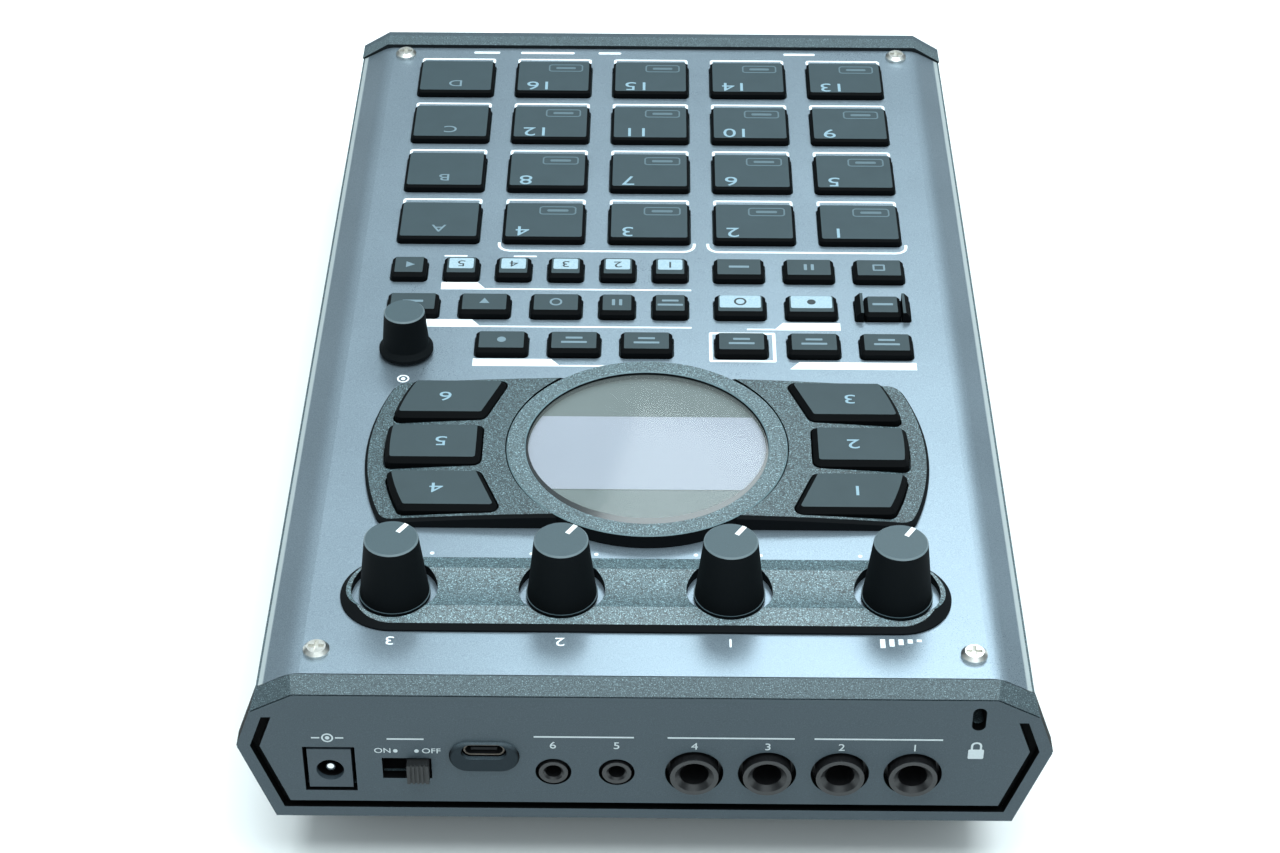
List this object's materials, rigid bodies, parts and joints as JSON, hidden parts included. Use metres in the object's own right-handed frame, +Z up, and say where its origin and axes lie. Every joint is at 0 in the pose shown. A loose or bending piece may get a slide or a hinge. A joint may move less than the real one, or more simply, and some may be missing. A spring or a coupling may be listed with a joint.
{
  "type": "audio sampler",
  "caption": "Desktop audio sampler with a tilted metal face plate, square drum pads, small keys, a round display, control knobs and sockets on both ends.",
  "frame": {"origin": "middle of the overall box, on the floor plane under the feet", "axes": "+X to the right as the player sits, +Y from the player to the rear sockets, +Z up"},
  "size_m": [0.1774, 0.2802, 0.0705],
  "materials": {
    "case_plastic": "fine textured black-grey plastic",
    "plate_paint": "metallic blue-grey paint with white print",
    "screw_steel": "bright pan heads",
    "trim_plastic": "textured black plastic with a slight sparkle",
    "window_glass": "clear polished window",
    "display_panel": "pale lit screen on a grey carrier",
    "board_laminate": "green laminate",
    "socket_plastic": "black moulded plastic",
    "plated_steel": "plated sheet steel",
    "control_metal": "pressed metal",
    "foot_rubber": "soft black rubber",
    "pad_rubber": "dark grey silicone rubber",
    "key_rubber": "dark grey silicone rubber",
    "knob_plastic": "soft black plastic with a white pointer",
    "lever_plastic": "ribbed black plastic"
  },
  "bodies": {
    "case": {"bottom_case": "case_plastic", "top_case": "case_plastic", "face_plate": "plate_paint", "case_screws": "screw_steel", "knob_trough": "trim_plastic", "display_housing": "trim_plastic", "display_ring": "trim_plastic", "display_window": "window_glass", "display_module": "display_panel", "key_board": "board_laminate", "main_board": "board_laminate", "phone_jacks": "socket_plastic", "mini_jacks": "socket_plastic", "usb_port": "plated_steel", "dc_jack": "socket_plastic", "switch_bodies": "socket_plastic", "pot_bodies": "control_metal", "encoder_body": "control_metal", "rubber_feet": "foot_rubber", "battery_contacts": "plated_steel"},
    "pad_01": {"pad_01": "pad_rubber"},
    "pad_02": {"pad_02": "pad_rubber"},
    "pad_03": {"pad_03": "pad_rubber"},
    "pad_04": {"pad_04": "pad_rubber"},
    "pad_05": {"pad_05": "pad_rubber"},
    "pad_06": {"pad_06": "pad_rubber"},
    "pad_07": {"pad_07": "pad_rubber"},
    "pad_08": {"pad_08": "pad_rubber"},
    "pad_09": {"pad_09": "pad_rubber"},
    "pad_10": {"pad_10": "pad_rubber"},
    "pad_11": {"pad_11": "pad_rubber"},
    "pad_12": {"pad_12": "pad_rubber"},
    "pad_13": {"pad_13": "pad_rubber"},
    "pad_14": {"pad_14": "pad_rubber"},
    "pad_15": {"pad_15": "pad_rubber"},
    "pad_16": {"pad_16": "pad_rubber"},
    "side_pad_1": {"side_pad_1": "pad_rubber"},
    "side_pad_2": {"side_pad_2": "pad_rubber"},
    "side_pad_3": {"side_pad_3": "pad_rubber"},
    "side_pad_4": {"side_pad_4": "pad_rubber"},
    "effect_key_1": {"effect_key_1": "key_rubber"},
    "effect_key_2": {"effect_key_2": "key_rubber"},
    "effect_key_3": {"effect_key_3": "key_rubber"},
    "effect_key_4": {"effect_key_4": "key_rubber"},
    "effect_key_5": {"effect_key_5": "key_rubber"},
    "effect_key_6": {"effect_key_6": "key_rubber"},
    "sequence_keys": {"sequence_keys": "key_rubber"},
    "edit_keys": {"edit_keys": "key_rubber"},
    "mode_keys": {"mode_keys": "key_rubber"},
    "bank_keys": {"bank_keys": "key_rubber"},
    "control_knob_1": {"control_knob_1": "knob_plastic"},
    "control_knob_2": {"control_knob_2": "knob_plastic"},
    "control_knob_3": {"control_knob_3": "knob_plastic"},
    "control_knob_4": {"control_knob_4": "knob_plastic"},
    "encoder_plunger": {"encoder_plunger": "control_metal"},
    "value_knob": {"value_knob": "knob_plastic"},
    "gain_knob": {"gain_knob": "knob_plastic"},
    "power_switch": {"power_switch": "lever_plastic"},
    "input_switch": {"input_switch": "lever_plastic"},
    "battery_cover": {"battery_cover": "case_plastic"}
  },
  "joints": [
    {"name": "pad_01_press", "type": "slide", "parent": "case", "child": "pad_01", "axis": [0, 0.0523, -0.9986], "range_m": [0, 0.0008], "stiffness_N_per_m": 2000},
    {"name": "pad_02_press", "type": "slide", "parent": "case", "child": "pad_02", "axis": [0, 0.0523, -0.9986], "range_m": [0, 0.0008], "stiffness_N_per_m": 2000},
    {"name": "pad_03_press", "type": "slide", "parent": "case", "child": "pad_03", "axis": [0, 0.0523, -0.9986], "range_m": [0, 0.0008], "stiffness_N_per_m": 2000},
    {"name": "pad_04_press", "type": "slide", "parent": "case", "child": "pad_04", "axis": [0, 0.0523, -0.9986], "range_m": [0, 0.0008], "stiffness_N_per_m": 2000},
    {"name": "pad_05_press", "type": "slide", "parent": "case", "child": "pad_05", "axis": [0, 0.0523, -0.9986], "range_m": [0, 0.0008], "stiffness_N_per_m": 2000},
    {"name": "pad_06_press", "type": "slide", "parent": "case", "child": "pad_06", "axis": [0, 0.0523, -0.9986], "range_m": [0, 0.0008], "stiffness_N_per_m": 2000},
    {"name": "pad_07_press", "type": "slide", "parent": "case", "child": "pad_07", "axis": [0, 0.0523, -0.9986], "range_m": [0, 0.0008], "stiffness_N_per_m": 2000},
    {"name": "pad_08_press", "type": "slide", "parent": "case", "child": "pad_08", "axis": [0, 0.0523, -0.9986], "range_m": [0, 0.0008], "stiffness_N_per_m": 2000},
    {"name": "pad_09_press", "type": "slide", "parent": "case", "child": "pad_09", "axis": [0, 0.0523, -0.9986], "range_m": [0, 0.0008], "stiffness_N_per_m": 2000},
    {"name": "pad_10_press", "type": "slide", "parent": "case", "child": "pad_10", "axis": [0, 0.0523, -0.9986], "range_m": [0, 0.0008], "stiffness_N_per_m": 2000},
    {"name": "pad_11_press", "type": "slide", "parent": "case", "child": "pad_11", "axis": [0, 0.0523, -0.9986], "range_m": [0, 0.0008], "stiffness_N_per_m": 2000},
    {"name": "pad_12_press", "type": "slide", "parent": "case", "child": "pad_12", "axis": [0, 0.0523, -0.9986], "range_m": [0, 0.0008], "stiffness_N_per_m": 2000},
    {"name": "pad_13_press", "type": "slide", "parent": "case", "child": "pad_13", "axis": [0, 0.0523, -0.9986], "range_m": [0, 0.0008], "stiffness_N_per_m": 2000},
    {"name": "pad_14_press", "type": "slide", "parent": "case", "child": "pad_14", "axis": [0, 0.0523, -0.9986], "range_m": [0, 0.0008], "stiffness_N_per_m": 2000},
    {"name": "pad_15_press", "type": "slide", "parent": "case", "child": "pad_15", "axis": [0, 0.0523, -0.9986], "range_m": [0, 0.0008], "stiffness_N_per_m": 2000},
    {"name": "pad_16_press", "type": "slide", "parent": "case", "child": "pad_16", "axis": [0, 0.0523, -0.9986], "range_m": [0, 0.0008], "stiffness_N_per_m": 2000},
    {"name": "side_pad_1_press", "type": "slide", "parent": "case", "child": "side_pad_1", "axis": [0, 0.0523, -0.9986], "range_m": [0, 0.0008], "stiffness_N_per_m": 2000},
    {"name": "side_pad_2_press", "type": "slide", "parent": "case", "child": "side_pad_2", "axis": [0, 0.0523, -0.9986], "range_m": [0, 0.0008], "stiffness_N_per_m": 2000},
    {"name": "side_pad_3_press", "type": "slide", "parent": "case", "child": "side_pad_3", "axis": [0, 0.0523, -0.9986], "range_m": [0, 0.0008], "stiffness_N_per_m": 2000},
    {"name": "side_pad_4_press", "type": "slide", "parent": "case", "child": "side_pad_4", "axis": [0, 0.0523, -0.9986], "range_m": [0, 0.0008], "stiffness_N_per_m": 2000},
    {"name": "effect_key_1_press", "type": "slide", "parent": "case", "child": "effect_key_1", "axis": [0, 0.0523, -0.9986], "range_m": [0, 0.0006], "stiffness_N_per_m": 2500},
    {"name": "effect_key_2_press", "type": "slide", "parent": "case", "child": "effect_key_2", "axis": [0, 0.0523, -0.9986], "range_m": [0, 0.0006], "stiffness_N_per_m": 2500},
    {"name": "effect_key_3_press", "type": "slide", "parent": "case", "child": "effect_key_3", "axis": [0, 0.0523, -0.9986], "range_m": [0, 0.0006], "stiffness_N_per_m": 2500},
    {"name": "effect_key_4_press", "type": "slide", "parent": "case", "child": "effect_key_4", "axis": [0, 0.0523, -0.9986], "range_m": [0, 0.0006], "stiffness_N_per_m": 2500},
    {"name": "effect_key_5_press", "type": "slide", "parent": "case", "child": "effect_key_5", "axis": [0, 0.0523, -0.9986], "range_m": [0, 0.0006], "stiffness_N_per_m": 2500},
    {"name": "effect_key_6_press", "type": "slide", "parent": "case", "child": "effect_key_6", "axis": [0, 0.0523, -0.9986], "range_m": [0, 0.0006], "stiffness_N_per_m": 2500},
    {"name": "sequence_keys_press", "type": "slide", "parent": "case", "child": "sequence_keys", "axis": [0, 0.0523, -0.9986], "range_m": [0, 0.0006], "stiffness_N_per_m": 2500},
    {"name": "edit_keys_press", "type": "slide", "parent": "case", "child": "edit_keys", "axis": [0, 0.0523, -0.9986], "range_m": [0, 0.0006], "stiffness_N_per_m": 2500},
    {"name": "mode_keys_press", "type": "slide", "parent": "case", "child": "mode_keys", "axis": [0, 0.0523, -0.9986], "range_m": [0, 0.0006], "stiffness_N_per_m": 2500},
    {"name": "bank_keys_press", "type": "slide", "parent": "case", "child": "bank_keys", "axis": [0, 0.0523, -0.9986], "range_m": [0, 0.0006], "stiffness_N_per_m": 2500},
    {"name": "control_knob_1_turn", "type": "hinge", "parent": "case", "child": "control_knob_1", "pos_m": [-0.05565, 0.10652, 0.05872], "axis": [0, 0.0523, -0.9986], "range_deg": [0, 300]},
    {"name": "control_knob_2_turn", "type": "hinge", "parent": "case", "child": "control_knob_2", "pos_m": [-0.01855, 0.10652, 0.05872], "axis": [0, 0.0523, -0.9986], "range_deg": [0, 300]},
    {"name": "control_knob_3_turn", "type": "hinge", "parent": "case", "child": "control_knob_3", "pos_m": [0.01855, 0.10652, 0.05872], "axis": [0, 0.0523, -0.9986], "range_deg": [0, 300]},
    {"name": "control_knob_4_turn", "type": "hinge", "parent": "case", "child": "control_knob_4", "pos_m": [0.05565, 0.10652, 0.05872], "axis": [0, 0.0523, -0.9986], "range_deg": [0, 300]},
    {"name": "encoder_push", "type": "slide", "parent": "case", "child": "encoder_plunger", "axis": [0, 0.0523, -0.9986], "range_m": [0, 0.0005], "stiffness_N_per_m": 6000},
    {"name": "value_knob_turn", "type": "hinge", "parent": "encoder_plunger", "child": "value_knob", "pos_m": [0.0599, 0.01594, 0.05397], "axis": [0, 0.0523, -0.9986], "continuous": true},
    {"name": "gain_knob_turn", "type": "hinge", "parent": "case", "child": "gain_knob", "pos_m": [0.0105, -0.13308, 0.01612], "axis": [0, 0.9986, 0.0523], "range_deg": [0, 300]},
    {"name": "power_switch_slide", "type": "slide", "parent": "case", "child": "power_switch", "axis": [1, 0, 0], "range_m": [0, 0.005]},
    {"name": "input_switch_slide", "type": "slide", "parent": "case", "child": "input_switch", "axis": [-1, 0, 0], "range_m": [0, 0.005]},
    {"name": "battery_cover_slide", "type": "slide", "parent": "case", "child": "battery_cover", "axis": [0, 1, 0], "range_m": [0, 0.05]}
  ]
}
